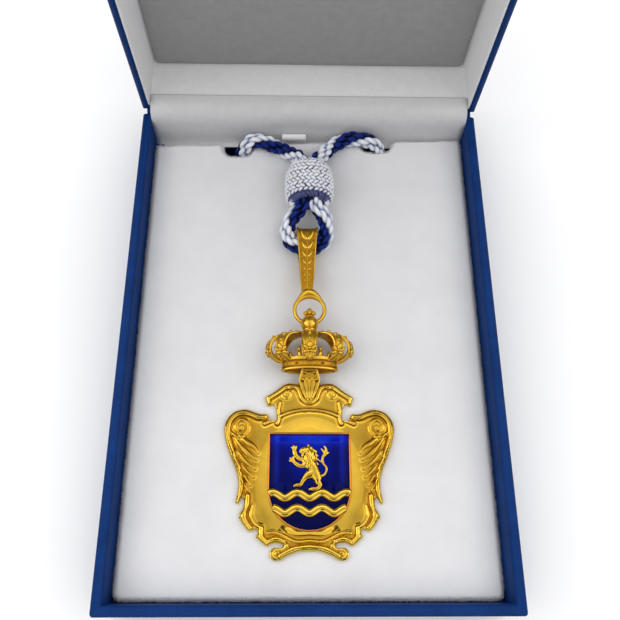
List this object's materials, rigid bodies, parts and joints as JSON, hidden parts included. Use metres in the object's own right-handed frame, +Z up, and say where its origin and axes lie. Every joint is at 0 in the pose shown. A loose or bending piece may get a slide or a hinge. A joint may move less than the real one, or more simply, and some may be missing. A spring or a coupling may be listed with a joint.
{
  "type": "badge of office on neck cord in presentation case",
  "caption": "Gilt and enamel neck badge with crown and bail on a twisted cord with slide knot, lying in an open hinged presentation case.",
  "frame": {"origin": "centre of the case's underside, on the surface that it stands on", "axes": "+Z up, +Y towards the case's hinge, +X to the right seen from the front of the open case; the badge's crown points to +Y and its face to +Z"},
  "size_m": [0.13, 0.2038, 0.205],
  "materials": {
    "leatherette": "navy embossed leatherette",
    "velvet": "white short-pile velvet",
    "lining": "pale grey-white lining cloth",
    "satin": "white satin ribbon",
    "polished_gilt": "polished gilt casting",
    "matte_gilt": "matt orange gilt casting",
    "copper_gilt": "copper-coloured gilt",
    "enamel": "translucent cobalt enamel",
    "silver_thread": "woven silver-white thread",
    "cord": "twisted rayon, blue and silver-white strands"
  },
  "bodies": {
    "case": {"case_base": "leatherette", "case_pad": "velvet", "rear_lining": "lining", "pull_tab": "satin", "hinge_rod": "leatherette", "cartouche": "polished_gilt", "shield": "copper_gilt", "enamel_field": "enamel", "enamel_band": "enamel", "enamel_base": "enamel", "charge": "polished_gilt", "crown": "matte_gilt", "bail": "matte_gilt", "slide_knot": "silver_thread", "neck_cord": "cord", "loop_cord": "cord"},
    "lid": {"lid_shell": "leatherette", "lid_lining": "lining"}
  },
  "joints": [
    {"name": "lid_hinge", "type": "hinge", "parent": "case", "child": "lid", "pos_m": [0, 0.09, 0.025], "axis": [1, 0, 0], "range_deg": [0, 90]}
  ]
}
